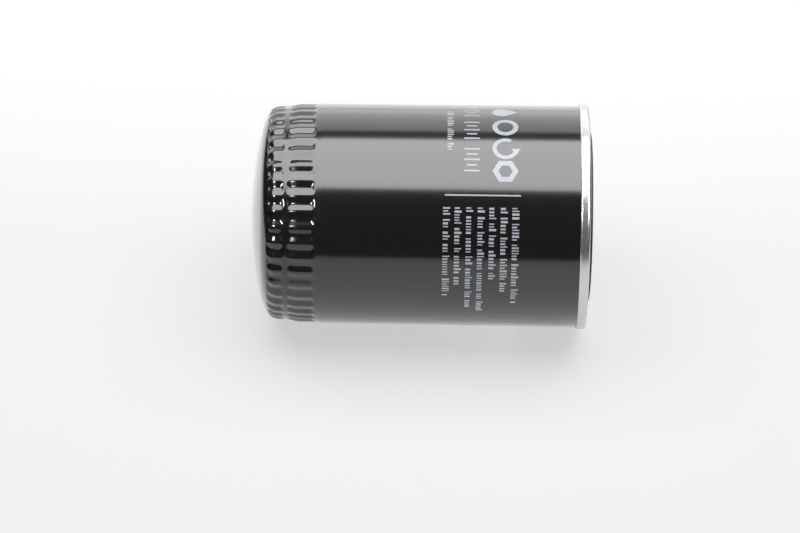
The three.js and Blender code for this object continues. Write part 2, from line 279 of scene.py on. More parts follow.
def draw_chain(points: Iterable[Vector]) -> None:
    """Adds a point to the open mesh and extrudes it along a path.

    Args:
        points: the path's points, in metres.
    """
    path = list(points)
    bpy.ops.mesh.primitive_plane_add(size=MM)
    bpy.ops.mesh.merge(type="CENTER")
    bpy.ops.transform.translate(value=path[0])
    for here, there in zip(path, path[1:]):
        extrude(there - here)


def start_piece(name: str) -> Piece:
    """Starts an empty piece, open in edit mode, and returns it."""
    deselect_all()
    bpy.ops.mesh.primitive_plane_add(size=MM)
    piece = bpy.context.object
    piece.name = piece.data.name = name
    edit(piece)
    bpy.ops.mesh.delete(type="VERT")
    return piece


def draw(name: str, points: Iterable[Vector]) -> Piece:
    """Starts a piece as a chain of edges.

    Args:
        name: the piece's name.
        points: the chain's points, in metres.

    Returns:
        The new piece, open in edit mode with all of it selected.
    """
    piece = start_piece(name)
    draw_chain(points)
    bpy.ops.mesh.select_all(action="SELECT")
    return piece


def on_radius(points: Outline, elevation: float = 90.0) -> list[Vector]:
    """Stands an outline up in a half-plane through the axis.

    Args:
        points: stations and radii in millimetres.
        elevation: the half-plane's angle above -Y, in degrees.

    Returns:
        The points in metres.
    """
    angle = math.radians(elevation)
    return [Vector((x, -r * math.cos(angle), r * math.sin(angle))) * MM for x, r in points]


def smooth(piece: Piece, angle: float = 40.0) -> Piece:
    """Shades a piece smooth except along edges sharper than an angle in degrees, and returns it."""
    pick(piece)
    bpy.ops.object.shade_smooth_by_angle(angle=math.radians(angle))
    return piece


def thicken(piece: Piece, sheet: float, edge: float = 0.0) -> None:
    """Thickens a sheet about its middle and bevels its sharp edges.

    Args:
        piece: the sheet's middle surface.
        sheet: the sheet's thickness in millimetres.
        edge: the bevel's width in millimetres, or 0 for none.
    """
    apply_modifier(piece, "SOLIDIFY", thickness=sheet * MM, offset=0, use_even_offset=True)
    if edge:
        apply_modifier(piece, "BEVEL", width=edge * MM, segments=2, limit_method="ANGLE",
                       angle_limit=math.radians(SHARP_EDGE))


def turn(name: str, outline: Outline, closed: bool = True, steps: int = STEPS_ROUND) -> Piece:
    """Turns an outline about the X axis into a closed piece.

    Args:
        name: the piece's name.
        outline: stations and radii in millimetres.
        closed: whether the outline is a loop; an open one starts and ends on the axis.
        steps: number of steps round the axis.

    Returns:
        The finished piece in object mode.
    """
    piece = draw(name, on_radius([*outline, outline[0]] if closed else outline))
    spin(steps)
    close_up()
    return smooth(piece)


def press(name: str, corners: Sequence[Triple], sheet: float, steps: int = STEPS_ROUND) -> Piece:
    """Presses a ring from sheet metal: turns the middle line of the sheet, then thickens it.

    Args:
        name: the piece's name.
        corners: station, radius and bend of each corner of the middle line.
        sheet: thickness of the sheet in millimetres.
        steps: number of steps round the axis.

    Returns:
        The finished piece in object mode.
    """
    piece = draw(name, on_radius(rounded(corners, closed=False, steps=5)))
    spin(steps)
    close_up()
    thicken(piece, sheet, sheet * WORN_EDGE)
    return smooth(piece)


def washer(name: str, node: str, inner: float, last: float = 0.2, steps: int = STEPS_ROUND) -> Piece:
    """Turns a plain ring in the place of a node.

    Args:
        name: the piece's name.
        node: the node it stands for.
        inner: its inner radius.
        last: fillet of its outer edge towards -X; the other three are 0.2.
        steps: number of steps round the axis.

    Returns:
        The finished piece in object mode.
    """
    reach = Reach.of(node)
    return turn(name, rounded([
        (reach.start, inner, 0.2),
        (reach.end, inner, 0.2),
        (reach.end, reach.radius, 0.2),
        (reach.start, reach.radius, last),
    ]), steps=steps)


def drill(sides: int, radius: float, depth: float, place: Vector, turned: Triple) -> Piece:
    """Makes the tool that drills or punches one round hole.

    Args:
        sides: number of its sides.
        radius: its radius in millimetres.
        depth: its length in millimetres.
        place: its middle in millimetres.
        turned: its rotation in radians.

    Returns:
        The tool in object mode.
    """
    deselect_all()
    bpy.ops.mesh.primitive_cylinder_add(vertices=sides, radius=radius * MM, depth=depth * MM,
                                        location=place * MM, rotation=turned)
    bpy.ops.object.transform_apply(location=True, rotation=True, scale=True)
    return bpy.context.object


def join(first: Piece, others: Sequence[Piece]) -> Piece:
    """Joins pieces into the first one and returns it."""
    deselect_all()
    for piece in (first, *others):
        piece.select_set(True)
    bpy.context.view_layer.objects.active = first
    bpy.ops.object.join()
    return first


def punch(piece: Piece, tools: Sequence[Piece]) -> Piece:
    """Cuts a piece with tools, which are used up, and returns it."""
    tool = join(tools[0], tools[1:])
    apply_modifier(piece, "BOOLEAN", object=tool, operation="DIFFERENCE", solver="EXACT")
    bpy.data.objects.remove(tool, do_unlink=True)
    return smooth(piece, 30)


def wind(name: str, wire: float, radius: float, start: float, end: float, turns: float,
         closed_turns: float = 1.0, gap: float = 0.3, steps_per_turn: int = 40) -> Piece:
    """Winds a compression spring about the X axis, its end turns nearly closed.

    Args:
        name: the piece's name.
        wire: the wire's diameter.
        radius: radius of the coil at the middle of the wire.
        start: station where the spring begins.
        end: station where it ends.
        turns: number of turns.
        closed_turns: turns at each end that lie nearly closed.
        gap: space between the closed turns.
        steps_per_turn: steps in each turn.

    Returns:
        The finished spring in object mode.
    """
    first, last = start + wire / 2, end - wire / 2
    end_pitch = wire + gap
    open_pitch = (last - first - 2 * closed_turns * end_pitch) / (turns - 2 * closed_turns)
    path = []
    for i in range(round(turns * steps_per_turn) + 1):
        turn_now = i / steps_per_turn
        opened = min(max(turn_now - closed_turns, 0), turns - 2 * closed_turns)
        x = first + (turn_now - opened) * end_pitch + opened * open_pitch
        angle = turn_now * FULL_TURN
        path.append(Vector((x, radius * math.cos(angle), radius * math.sin(angle))) * MM)
    piece = draw(name, path)
    pick(piece)
    bpy.ops.object.convert(target="CURVE")
    curve = bpy.context.object.data
    curve.bevel_depth = wire / 2 * MM
    curve.bevel_resolution = 3
    curve.use_fill_caps = True
    bpy.ops.object.convert(target="MESH")
    piece = bpy.context.object
    piece.data.name = name
    edit(piece)
    close_up()
    return smooth(piece)


# ---------------------------------------------------------------- shared effects


class Tree:
    """Adds nodes to one node tree and links them."""

    def __init__(self, tree: bpy.types.NodeTree) -> None:
        """Keeps the tree that the nodes go into."""
        self.tree = tree

    def add(self, kind: str, inputs: dict | None = None, **settings: object) -> bpy.types.Node:
        """Adds a node.

        Args:
            kind: the node's type without its ShaderNode prefix, or a full type name.
            inputs: values or output sockets for its inputs, by name or number.
            settings: the node's own properties.

        Returns:
            The node.
        """
        full = kind if kind.startswith("Node") else f"ShaderNode{kind}"
        node = self.tree.nodes.new(full)
        for name, value in settings.items():
            setattr(node, name, value)
        for name, value in (inputs or {}).items():
            if isinstance(value, Socket):
                self.tree.links.new(value, node.inputs[name])
            else:
                node.inputs[name].default_value = value
        return node

    def place(self) -> Socket:
        """Returns the Object coordinates."""
        return self.add("TexCoord").outputs["Object"]

    def math(self, operation: str, *values: object) -> Socket:
        """Adds a math node on values or sockets and returns its output."""
        inputs = dict(enumerate(values))
        return self.add("Math", inputs, operation=operation).outputs[0]

    def mix(self, share: Socket, first: object, second: object) -> Socket:
        """Mixes two colours and returns the result."""
        return self.add("Mix", {0: share, "A": first, "B": second}, data_type="RGBA").outputs["Result"]

    def noise(self, place: Socket, scale: object, detail: float) -> Socket:
        """Adds a noise texture at a place and returns its value."""
        return self.add("TexNoise", {"Vector": place, "Scale": scale, "Detail": detail}).outputs[0]

    def spread(self, value: Socket, low: object, high: object,
               start: object = 0.0, end: object = 1.0) -> Socket:
        """Maps a value from low..high to start..end, clamped, and returns it."""
        return self.add("MapRange", {0: value, 1: low, 2: high, 3: start, 4: end}).outputs[0]


@dataclass(frozen=True)
class SharedEffect:
    """A surface effect kept in one node group that several finishes use."""

    name: str
    inputs: tuple[tuple[str, float], ...]
    outputs: tuple[str, ...]
    make: Callable[[Tree, bpy.types.Node], dict]

    def group(self) -> bpy.types.NodeTree:
        """Returns the effect's node group, made the first time it is asked for."""
        found = bpy.data.node_groups.get(self.name)
        if found:
            return found
        group = bpy.data.node_groups.new(self.name, "ShaderNodeTree")
        for name, value in self.inputs:
            socket = group.interface.new_socket(name, in_out="INPUT", socket_type="NodeSocketFloat")
            socket.default_value = value
        for name in self.outputs:
            group.interface.new_socket(name, in_out="OUTPUT", socket_type="NodeSocketFloat")
        tree = Tree(group)
        inlet = tree.add("NodeGroupInput")
        tree.add("NodeGroupOutput", self.make(tree, inlet))
        return group


def make_grain(tree: Tree, inlet: bpy.types.Node) -> dict:
    """Fine and broad unevenness of a surface, as a height and a share of roughness."""
    place = tree.place()
    fine = tree.noise(place, inlet.outputs["Fine scale"], 3.0)
    broad = tree.noise(place, inlet.outputs["Broad scale"], 2.0)
    height = tree.math("MULTIPLY", fine, inlet.outputs["Height"])
    uneven = tree.math("ADD", fine, broad)
    uneven = tree.math("SUBTRACT", uneven, 1.0)
    rough = tree.math("MULTIPLY_ADD", uneven, inlet.outputs["Spread"], inlet.outputs["Roughness"])
    return {"Height": height, "Roughness": rough, "Mottle": broad}


def make_turning(tree: Tree, inlet: bpy.types.Node) -> dict:
    """Fine rings left by turning or rolling about the X axis."""
    place = tree.place()
    parts = tree.add("SeparateXYZ", {0: place})
    across = tree.math("POWER", parts.outputs[1], 2.0)
    upward = tree.math("POWER", parts.outputs[2], 2.0)
    radius = tree.math("SQRT", tree.math("ADD", across, upward))
    ring = tree.add("CombineXYZ", {0: parts.outputs[0], 1: radius})
    rings = tree.noise(ring.outputs[0], inlet.outputs["Scale"], 4.0)
    return {"Height": tree.math("MULTIPLY", rings, inlet.outputs["Height"]), "Streak": rings}


def make_wear(tree: Tree, inlet: bpy.types.Node) -> dict:
    """A mask of sharp outer edges, broken up by noise."""
    place = tree.place()
    sharp = tree.add("NewGeometry").outputs["Pointiness"]
    edge = tree.spread(sharp, 0.52, 0.6)
    broken = tree.spread(tree.noise(place, 900.0, 4.0), 0.42, 0.6)
    worn = tree.math("MULTIPLY", edge, broken)
    return {"Mask": tree.math("MULTIPLY", worn, inlet.outputs["Amount"])}


def make_dust(tree: Tree, inlet: bpy.types.Node) -> dict:
    """A mask of sparse specks."""
    place = tree.place()
    cells = tree.add("TexVoronoi", {"Vector": place, "Scale": inlet.outputs["Scale"]})
    speck = tree.spread(cells.outputs["Distance"], 0.05, 0.09, 1.0, 0.0)
    chosen = tree.add("SeparateXYZ", {0: cells.outputs["Color"]}).outputs[0]
    few = tree.math("LESS_THAN", chosen, inlet.outputs["Share"])
    return {"Mask": tree.math("MULTIPLY", speck, few)}


GRAIN = SharedEffect(
    "surface grain",
    (("Fine scale", 900.0), ("Broad scale", 60.0), ("Height", 1.0), ("Roughness", 0.4), ("Spread", 0.1)),
    ("Height", "Roughness", "Mottle"),
    make_grain,
)
TURNING = SharedEffect("turning marks", (("Scale", 700.0), ("Height", 1.0)), ("Height", "Streak"),
                       make_turning)
WEAR = SharedEffect("edge wear", (("Amount", 0.5),), ("Mask",), make_wear)
DUST = SharedEffect("dust specks", (("Scale", 150.0), ("Share", 0.1)), ("Mask",), make_dust)


# ---------------------------------------------------------------- finishes


@dataclass(frozen=True)
class Finish:
    """How one kind of surface looks."""

    name: str
    colour: Triple
    second: Triple
    roughness: float
    spread: float = 0.08
    metallic: float = 0.0
    ior: float = 1.5
    fine_scale: float = 900.0
    broad_scale: float = 60.0
    bump: float = 0.004
    turning: float = 0.0
    turning_scale: float = 700.0
    wear: float = 0.0
    worn_colour: Triple = (0.6, 0.6, 0.6)
    dust: float = 0.0
    dust_colour: Triple = (0.5, 0.5, 0.5)
    coat: float = 0.0
    coat_roughness: float = 0.1

    def material(self) -> bpy.types.Material:
        """Returns the finish's material, made the first time it is asked for."""
        found = bpy.data.materials.get(self.name)
        if found:
            return found
        material = bpy.data.materials.new(self.name)
        material.use_nodes = True
        material.diffuse_color = (*self.colour, 1)
        tree = Tree(material.node_tree)
        shader = material.node_tree.nodes["Principled BSDF"]
        plain = {"Metallic": self.metallic, "IOR": self.ior, "Coat Weight": self.coat,
                 "Coat Roughness": self.coat_roughness}
        for name, value in plain.items():
            shader.inputs[name].default_value = value
        grain = self._place(tree, GRAIN, {"Fine scale": self.fine_scale, "Broad scale": self.broad_scale,
                                          "Roughness": self.roughness, "Spread": self.spread})
        colour = tree.mix(grain.outputs["Mottle"], (*self.colour, 1), (*self.second, 1))
        rough, height = grain.outputs["Roughness"], grain.outputs["Height"]
        if self.turning:
            marks = self._place(tree, TURNING, {"Scale": self.turning_scale, "Height": self.turning})
            height = tree.math("ADD", height, marks.outputs["Height"])
        if self.wear:
            worn = self._place(tree, WEAR, {"Amount": self.wear}).outputs["Mask"]
            colour = tree.mix(worn, colour, (*self.worn_colour, 1))
        if self.dust:
            specks = self._place(tree, DUST, {"Share": self.dust}).outputs["Mask"]
            colour = tree.mix(specks, colour, (*self.dust_colour, 1))
            rough = tree.math("MAXIMUM", rough, specks)
        links = material.node_tree.links
        links.new(colour, shader.inputs["Base Color"])
        links.new(rough, shader.inputs["Roughness"])
        bump = tree.add("Bump", {"Strength": 1.0, "Distance": self.bump * MM, "Height": height})
        links.new(bump.outputs[0], shader.inputs["Normal"])
        return material

    @staticmethod
    def _place(tree: Tree, effect: SharedEffect, values: dict) -> bpy.types.Node:
        """Places a shared effect in a material with its own values and returns the node."""
        node = tree.add("Group", node_tree=effect.group())
        for name, value in values.items():
            node.inputs[name].default_value = value
        return node


BLACK_LACQUER = Finish("black lacquer", (0.007, 0.0055, 0.006), (0.008, 0.0065, 0.007), 0.17, 0.02,
                       ior=1.45, fine_scale=420.0, bump=0.004, dust=0.02, coat=1.0,
                       coat_roughness=0.14)
WHITE_INK = Finish("white screen ink", (0.72, 0.78, 0.86), (0.66, 0.72, 0.8), 0.35, 0.08,
                   fine_scale=1500.0, bump=0.003)
PLATED_STEEL = Finish("plated steel", (0.67, 0.675, 0.68), (0.6, 0.61, 0.62), 0.26, 0.1, 1.0,
                      fine_scale=700.0, bump=0.004, turning=1.5, turning_scale=500.0)
PLATE_STEEL = Finish("phosphated plate", (0.3, 0.31, 0.32), (0.22, 0.23, 0.24), 0.42, 0.12, 1.0,
                     bump=0.006, turning=0.8)
CAP_STEEL = Finish("tinned sheet", (0.62, 0.63, 0.65), (0.5, 0.51, 0.53), 0.33, 0.12, 1.0, wear=0.3)
TUBE_STEEL = Finish("galvanised sheet", (0.55, 0.57, 0.6), (0.42, 0.44, 0.47), 0.4, 0.16, 1.0,
                    broad_scale=240.0, wear=0.3)
SPRING_STEEL = Finish("spring wire", (0.32, 0.33, 0.35), (0.22, 0.23, 0.25), 0.3, 0.1, 1.0, wear=0.3)
BLACK_RUBBER = Finish("black rubber", (0.012, 0.012, 0.012), (0.02, 0.02, 0.021), 0.48, 0.12,
                      fine_scale=2200.0, bump=0.01, dust=0.12)
VALVE_RUBBER = Finish("red rubber", (0.4, 0.09, 0.03), (0.3, 0.06, 0.02), 0.5, 0.12, fine_scale=1600.0,
                      bump=0.01)
FILTER_PAPER = Finish("filter paper", (0.62, 0.47, 0.2), (0.72, 0.58, 0.3), 0.85, 0.08, fine_scale=1800.0,
                      broad_scale=300.0, bump=0.05)
POTTING = Finish("potting adhesive", (0.32, 0.3, 0.26), (0.42, 0.4, 0.34), 0.5, 0.12, fine_scale=300.0,
                 bump=0.06)
SEALING_COMPOUND = Finish("sealing compound", (0.45, 0.43, 0.37), (0.36, 0.34, 0.29), 0.6, 0.1,
                          fine_scale=500.0, bump=0.04)


@dataclass
class Assembly:
    """A sub-assembly of the filter, which keeps count of the pieces it has finished."""

    pieces: list[Piece] = field(default_factory=list, init=False)

    def dress(self, piece: Piece, finish: Finish, body: Body | None, slot: Slot | None,
              *nodes: str) -> Piece:
        """Gives a piece its finish and its place in the frame.

        Args:
            piece: the finished mesh.
            finish: its finish.
            body: the body it rides on, or None, which leaves it on no body, for a piece that lies between
                two.
            slot: the record's slot, or None for a piece that has none; not used.
            nodes: the frame's nodes that it stands for.

        Returns:
            The piece.
        """
        piece.data.materials.clear()
        piece.data.materials.append(finish.material())
        if body:
            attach(piece, body.value)
        if nodes:
            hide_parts(*nodes)
        self.pieces.append(piece)
        return piece


# ---------------------------------------------------------------- can


@dataclass
class Can(Assembly):
    """The deep-drawn can with its two rows of wrench flutes."""

    sheet: float = 0.6
    crown_radius: float = 150.0
    knuckle_start: float = 36.5
    knuckle_radius: float = 18.0
    corner_radius: float = 6.0
    shoulder_radius: float = 44.9
    flute_radius: float = 45.85
    waist_radius: float = 46.1
    waist_x: float = -41.2
    step_x: Pair = (-56.2, -50.2)
    neck_radius: float = 46.5
    neck_drop: float = 0.25
    neck_length: float = 0.12
    flutes: int = 43
    flute_depth: float = 0.72
    crest_elevation: float = 40.9
    wall_row: Pair = (-55.9, -43.4)
    shoulder_row: Pair = (-64.8, -56.1)
    row_end: float = 2.3
    end_squareness: float = 3.0
    valley_share: float = 0.31
    crest_share: float = 0.25
    columns: int = 16
    row_pitch: float = 0.36
    coarse_rows: float = 4.0

    def __post_init__(self) -> None:
        """Works out where the crown, the knuckle and the corner meet."""
        self.reach = Reach.of("can")
        crown_x = self.reach.start + self.crown_radius
        self.crown_angle = math.degrees(math.asin(self.knuckle_start / self.crown_radius))
        inward = self.crown_radius - self.knuckle_radius
        self.knuckle_r = inward * math.sin(math.radians(self.crown_angle))
        self.knuckle_x = crown_x - inward * math.cos(math.radians(self.crown_angle))
        self.corner_r = self.shoulder_radius - self.corner_radius
        inward = self.knuckle_radius - self.corner_radius
        self.knuckle_angle = math.degrees(math.asin((self.corner_r - self.knuckle_r) / inward))
        self.corner_x = self.knuckle_x - inward * math.cos(math.radians(self.knuckle_angle))

    def skin(self, inset: float, fine: bool) -> Outline:
        """Draws one skin of the can.

        Args:
            inset: how far it lies inside the outer skin.
            fine: whether the fluted stretch has dense rows.

        Returns:
            The outline from the crown's middle to the open edge.
        """
        crown_centre = (self.reach.start + self.crown_radius, 0)
        crown = arc(crown_centre, self.crown_radius - inset, 0, self.crown_angle, 12 if fine else 5)
        knuckle = arc((self.knuckle_x, self.knuckle_r), self.knuckle_radius - inset, self.crown_angle,
                      self.knuckle_angle, 16 if fine else 5)
        corner = arc((self.corner_x, self.corner_r), self.corner_radius - inset, self.knuckle_angle, 90,
                     22 if fine else 7)
        points = [*crown, *knuckle[1:], *corner[1:]]
        pitch = self.row_pitch if fine else self.coarse_rows * self.row_pitch
        count = round((self.waist_x - self.corner_x) / pitch)
        for i in range(1, count + 1):
            x = self.corner_x + (self.waist_x - self.corner_x) * i / count
            points.append((x, self.wall_radius(x) - inset))
        rim_x = Reach.of("seam_cover").end - RIM_WIDTH
        neck_x = rim_x - self.neck_length
        points += line(points[-1], (neck_x - self.neck_length, self.neck_radius - inset), 8 if fine else 4)
        points.append((neck_x, self.neck_radius - inset))
        edge_radius = self.neck_radius - self.neck_drop - inset
        return [*points, (rim_x, edge_radius), (self.reach.end, edge_radius)]

    def wall_radius(self, x: float) -> float:
        """Returns the outer radius between the corner and the waist, where the flutes haven't cut in."""
        low, high = self.step_x
        share = min(max((x - low) / (high - low), 0), 1)
        share = share * share * (3 - 2 * share)
        radius = self.shoulder_radius + (self.flute_radius - self.shoulder_radius) * share
        back = min(max((x - self.wall_row[1]) / (self.waist_x - self.wall_row[1]), 0), 1)
        return radius + (self.waist_radius - self.flute_radius) * back

    def along(self, x: float, radius: float) -> float:
        """Returns how far along the drawn wall a point lies, as a station that unrolls the corner."""
        if x >= self.corner_x:
            return x
        bend = math.radians(self.knuckle_angle)
        angle = math.atan2(radius - self.corner_r, self.corner_x - x)
        if angle >= bend:
            return self.corner_x - self.corner_radius * (math.pi / 2 - angle)
        angle = math.atan2(radius - self.knuckle_r, self.knuckle_x - x)
        unrolled = self.corner_radius * (math.pi / 2 - bend) + self.knuckle_radius * (bend - angle)
        return self.corner_x - unrolled

    def flute_share(self, place: Vector) -> float:
        """Works out how far a flute is pressed in at a point.

        Args:
            place: the point, in metres.

        Returns:
            Its share of the full depth, 1 along the bottom of a flute and 0 on a crest.
        """
        x, y, z = place / MM
        radius = math.hypot(y, z)
        if radius < self.corner_r:
            return 0.0
        turns = math.degrees(math.atan2(z, -y)) - self.crest_elevation
        phase = turns * self.flutes / 360 % 1
        half = math.pi * radius / self.flutes
        across = abs(phase - 0.5) * 2 * half
        along = self.along(x, radius)
        best = 0.0
        for low, high in (self.shoulder_row, self.wall_row):
            past = max(low + self.row_end - along, along - high + self.row_end, 0) * half / self.row_end
            power = self.end_squareness
            distance = (across**power + past**power) ** (1 / power)
            best = max(best, self.fall(distance, half))
        return best

    def fall(self, distance: float, half: float) -> float:
        """Returns the depth share at a distance from a flute's bottom line, whose pitch is twice half."""
        valley, crest = self.valley_share * half, (1 - self.crest_share) * half
        total = valley / 2 + (crest - valley) + (half - crest) / 2
        if distance < valley:
            dropped = distance**2 / (2 * valley)
        elif distance < crest:
            dropped = valley / 2 + distance - valley
        else:
            rest = max(half - distance, 0)
            dropped = total - rest**2 / (2 * (half - crest))
        return 1 - dropped / total

    def build(self) -> None:
        """Models one flute's slice of the can, presses the flute in and copies the slice round."""
        outline = [*self.skin(0, True), *reversed(self.skin(self.sheet, False))]
        piece = draw("drawn_can", on_radius(outline, self.crest_elevation))
        spin(self.columns, -FULL_TURN / self.flutes)
        close_up()
        self.press_flutes(piece)
        edit(piece)
        spin(self.flutes, copies=True)
        close_up()
        self.dress(smooth(piece, 60), BLACK_LACQUER, Body.SHELL, Slot.LACQUER, "can")

    def press_flutes(self, piece: Piece) -> None:
        """Pushes both skins of the slice in along their flutes.

        Args:
            piece: the slice.
        """
        groups = {side: piece.vertex_groups.new(name=side) for side in ("outer", "inner")}
        for vertex in piece.data.vertices:
            share = self.flute_share(vertex.co)
            if share <= 0:
                continue
            outward = Vector((0, vertex.co.y, vertex.co.z)).dot(vertex.normal) > 0
            groups["outer" if outward else "inner"].add([vertex.index], share, "REPLACE")
        for side, strength in (("outer", -self.flute_depth), ("inner", self.flute_depth)):
            apply_modifier(piece, "DISPLACE", strength=strength * MM, mid_level=0, vertex_group=side)
        piece.vertex_groups.clear()


# ---------------------------------------------------------------- print on the can


@dataclass
class Print(Assembly):
    """The screen print: pictograms and plain bars that stand for lines of words."""

    can: Can
    radius: float = 46.75
    ink: float = 0.02
    clearance: float = 0.012
    left: float = 9.6
    right: float = 40.8
    repeat: float = -161.0
    seed: int = 7
    bold_x: float = 34.4
    bold_size: float = 5.4
    bold_places: tuple[float, ...] = (108.0, 92.5, 77.0, 63.5)  # drop, ring, arrow and nut
    mark_x: float = 20.6
    mark_places: tuple[float, ...] = (110.0, 90.0, 70.0)
    mark_pitch: float = 3.2
    mark_sizes: Triple = (6.4, 4.2, 0.75)  # long, short and thin
    small_row: tuple[float, ...] = (11.8, 111.0, 75.0, 2.6)  # station, both ends and height
    line_ends: tuple[float, ...] = (-9.3, -2.9, 6.5, -17.3, -14.3, 2.4, -4.3)
    line_x: float = 38.8
    line_pitch: float = 4.74
    line_start: float = 45.7
    letter: float = 2.9
    low_share: float = 0.72
    tall_chance: float = 0.3
    word_gap: float = 1.2
    letter_gap: float = 0.62
    rule_places: Pair = (50.5, -35.6)
    rule_width: float = 0.62

    def build(self) -> None:
        """Draws the print flat, wraps it round the can and lays it on the wall."""
        piece = start_piece("screen_print")
        for turned in (0.0, self.repeat):
            self.pictograms(turned)
            self.scale_marks(turned)
            self.words(turned)
            self.rules(turned)
        leave_edit()
        heights = [v.co.z for v in piece.data.vertices]
        angle = (max(heights) - min(heights)) / (self.radius * MM)
        apply_modifier(piece, "SIMPLE_DEFORM", deform_method="BEND", deform_axis="X", angle=angle)
        edit(piece)
        bpy.ops.transform.translate(value=(0, -self.radius * MM, 0))
        leave_edit()
        apply_modifier(piece, "SHRINKWRAP", target=self.can.pieces[0], offset=self.clearance * MM,
                       wrap_method="NEAREST_SURFACEPOINT", wrap_mode="ABOVE_SURFACE")
        edit(piece)
        bpy.ops.mesh.normals_make_consistent(inside=False)
        leave_edit()
        self.face_outwards(piece)
        apply_modifier(piece, "SOLIDIFY", thickness=self.ink * MM, offset=1)
        self.dress(smooth(piece, 30), WHITE_INK, Body.SHELL, None)

    @staticmethod
    def face_outwards(piece: Piece) -> None:
        """Flips the faces of a wrapped sheet that look at the axis."""
        edit(piece)
        bpy.ops.mesh.select_all(action="DESELECT")
        leave_edit()
        for face in piece.data.polygons:
            face.select = Vector((0, face.center.y, face.center.z)).dot(face.normal) < 0
        bpy.ops.object.mode_set(mode="EDIT")
        bpy.ops.mesh.flip_normals()
        leave_edit()

    def height(self, elevation: float) -> float:
        """Returns the flat sheet's Z in metres for an angle above -Y in degrees."""
        return self.radius * math.radians(elevation) * MM

    def patch(self, points: Sequence[Pair], x: float, elevation: float) -> None:
        """Fills a flat shape.

        Args:
            points: its corners, X and Z in millimetres from its middle.
            x: station of its middle.
            elevation: angle of its middle above -Y, in degrees.
        """
        middle = Vector((x * MM, 0, self.height(elevation)))
        draw_chain(middle + Vector((a, 0, b)) * MM for a, b in points)
        bpy.ops.mesh.select_linked()
        bpy.ops.mesh.edge_face_add()
        low, high = min(b for _, b in points), max(b for _, b in points)
        for cut in range(math.ceil(low), math.ceil(high)):
            bpy.ops.mesh.select_linked()
            bpy.ops.mesh.bisect(plane_co=middle + Vector((0, 0, cut * MM)), plane_no=(0, 0, 1))

    def bar(self, x: float, elevation: float, width: float, length: float) -> None:
        """Fills a bar, its width along X and its length round the can, in millimetres."""
        bpy.ops.mesh.primitive_plane_add(size=MM, rotation=(math.pi / 2, 0, 0),
                                         location=(x * MM, 0, self.height(elevation)))
        bpy.ops.transform.resize(value=(width, 1, length))

    def ring(self, x: float, elevation: float, outer: float, inner: float, start: float = 0,
             end: float = 360, steps: int = 0) -> None:
        """Fills a ring or a part of one.

        Args:
            x: station of its middle.
            elevation: angle of its middle above -Y, in degrees.
            outer: its outer radius.
            inner: its inner radius.
            start: angle where it starts, in degrees.
            end: angle where it ends.
            steps: number of straight pieces, or 0 for about one to every nine degrees.
        """
        steps = steps or max(round(abs(end - start) / 9), 2)
        for i in range(steps):
            low = math.radians(start + (end - start) * i / steps)
            high = math.radians(start + (end - start) * (i + 1) / steps)
            corners = [(outer, low), (outer, high), (inner, high), (inner, low)]
            self.patch([(r * math.cos(a), r * math.sin(a)) for r, a in corners], x, elevation)

    def pictograms(self, turned: float) -> None:
        """Draws the bold row: an oil drop, a gasket, a turning arrow and a nut."""
        x, size = self.bold_x, self.bold_size
        drop_at, ring_at, arrow_at, nut_at = (place + turned for place in self.bold_places)
        drop = [(size, 0)]
        for i in range(19):
            angle = math.radians(50 + 260 * i / 18)
            drop.append((-size * 0.25 + 0.75 * size * math.cos(angle), 0.72 * size * math.sin(angle)))
        self.patch(drop, x, drop_at)
        self.ring(x, ring_at, size, size * 0.62)
        self.ring(x, arrow_at, size, size * 0.68, 60, 330)
        tip = [(size * 1.15, 0.2), (size * 0.4, 0.2), (size * 0.84, size * 0.62)]
        self.patch([(a, -b) for a, b in tip], x, arrow_at)
        self.ring(x, nut_at, size, size * 0.55, steps=6)

    def scale_marks(self, turned: float) -> None:
        """Draws the medium row: three groups of thin marks, and the small row beside them."""
        long, short, thin = self.mark_sizes
        for middle in self.mark_places:
            for mark in range(-2, 3):
                width = long if mark % 2 == 0 else short
                self.bar(self.mark_x, middle - self.mark_pitch * mark + turned, width, thin)
        x, start, end, tall = self.small_row
        self.word_line(random.Random(self.seed), x, start + turned, end + turned, tall)

    def words(self, turned: float) -> None:
        """Draws the lines of plain bars that stand for words."""
        rng = random.Random(self.seed + round(abs(turned)))
        for number, end in enumerate(self.line_ends):
            x = self.line_x - self.line_pitch * number
            self.word_line(rng, x, self.line_start + turned, end + turned, self.letter)

    def word_line(self, rng: random.Random, x: float, start: float, end: float, tall: float) -> None:
        """Draws one line of words as letter-sized bars.

        Args:
            rng: source of the word lengths.
            x: station of the line's middle.
            start: angle above -Y where the line starts, in degrees.
            end: angle where it ends.
            tall: height of a tall bar; a low one is shorter at its top.
        """
        degree = math.degrees(1 / self.radius)
        place, left = start, 0
        while place > end:
            if left == 0:
                left = rng.choice((2, 3, 4, 5, 6, 7, 8))
                place -= self.word_gap * degree
            wide = rng.choice((0.5, 0.7, 0.95))
            height = tall if rng.random() < self.tall_chance else tall * self.low_share
            self.bar(x - (tall - height) / 2, place - wide / 2 * degree, height, wide)
            place -= (wide + self.letter_gap) * degree
            left -= 1

    def rules(self, turned: float) -> None:
        """Draws the thin rules above and below the lines of words."""
        middle, width = (self.left + self.right) / 2, self.right - self.left
        for place in self.rule_places:
            self.bar(middle, place + turned, width, self.rule_width)


# ---------------------------------------------------------------- threaded end


